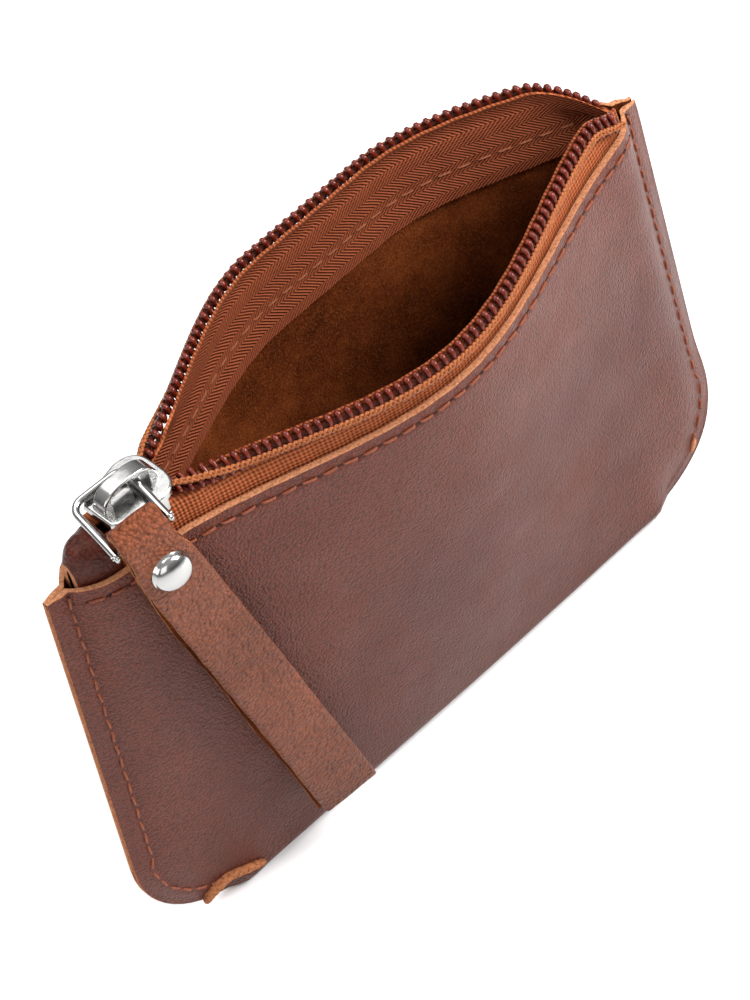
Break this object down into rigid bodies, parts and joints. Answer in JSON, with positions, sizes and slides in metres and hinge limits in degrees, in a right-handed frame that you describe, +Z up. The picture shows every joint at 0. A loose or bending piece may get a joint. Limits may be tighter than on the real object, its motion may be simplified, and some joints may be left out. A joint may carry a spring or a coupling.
{
  "type": "zippered leather pouch",
  "caption": "Small flat leather pouch with a zip along its open top, sewn side seams and a leather pull strap riveted to the slider's ring.",
  "frame": {"origin": "underside of the bottom fold, at the middle of its length and thickness", "axes": "+X along the zip from its closed end to its open end, +Z up from the fold to the zip, -Y the front, the side that the pull strap hangs on"},
  "size_m": [0.1188, 0.0386, 0.0909],
  "materials": {
    "body_leather": "matte waxed grain",
    "strap_leather": "satin pebbled grain",
    "tape": "woven polyester tape",
    "coil": "glossy nylon coil",
    "thread": "waxed thread",
    "nickel": "polished nickel plate"
  },
  "bodies": {
    "pouch": {"leather_body": "body_leather", "zip_end_tab": "body_leather", "front_lip_stitching": "thread", "back_lip_stitching": "thread", "left_seam_stitching": "thread", "right_seam_stitching": "thread"},
    "front_lip": {"front_tape": "tape", "front_coil": "coil", "front_chain_braid": "thread"},
    "back_lip": {"back_tape": "tape", "back_coil": "coil", "back_chain_braid": "thread"},
    "slider": {"slider_body": "nickel", "slider_crown": "nickel"},
    "ring": {"pull_ring": "nickel", "ring_pin": "nickel"},
    "strap": {"pull_strap": "strap_leather", "rivet_cap": "nickel", "rivet_post": "nickel"}
  },
  "joints": [
    {"name": "slider_slide", "type": "slide", "parent": "pouch", "child": "slider", "axis": [1, 0, 0], "range_m": [0, 0.084], "deforming": ["leather_body", "front_lip_stitching", "back_lip_stitching", "left_seam_stitching", "right_seam_stitching", "front_tape", "front_coil", "front_chain_braid", "back_tape", "back_coil", "back_chain_braid"]},
    {"name": "front_close", "type": "hinge", "parent": "pouch", "child": "front_lip", "pos_m": [0, 0, 0], "axis": [1, 0, 0], "range_deg": [-10.5, 0]},
    {"name": "back_close", "type": "hinge", "parent": "pouch", "child": "back_lip", "pos_m": [0, 0, 0], "axis": [1, 0, 0], "range_deg": [0, 11.1]},
    {"name": "ring_swing", "type": "hinge", "parent": "slider", "child": "ring", "pos_m": [-0.03855, 0, 0.0887], "axis": [0, 1, 0], "range_deg": [0, 100]},
    {"name": "strap_lift", "type": "hinge", "parent": "ring", "child": "strap", "pos_m": [-0.0441, -0.0078, 0.0876], "axis": [-0.985, 0.1384, -0.1035], "range_deg": [0, 110]}
  ],
  "couplings": [
    {"joint": "front_close", "follows": "slider_slide", "rad_per_m": -2.1484},
    {"joint": "back_close", "follows": "slider_slide", "rad_per_m": 2.2793}
  ]
}
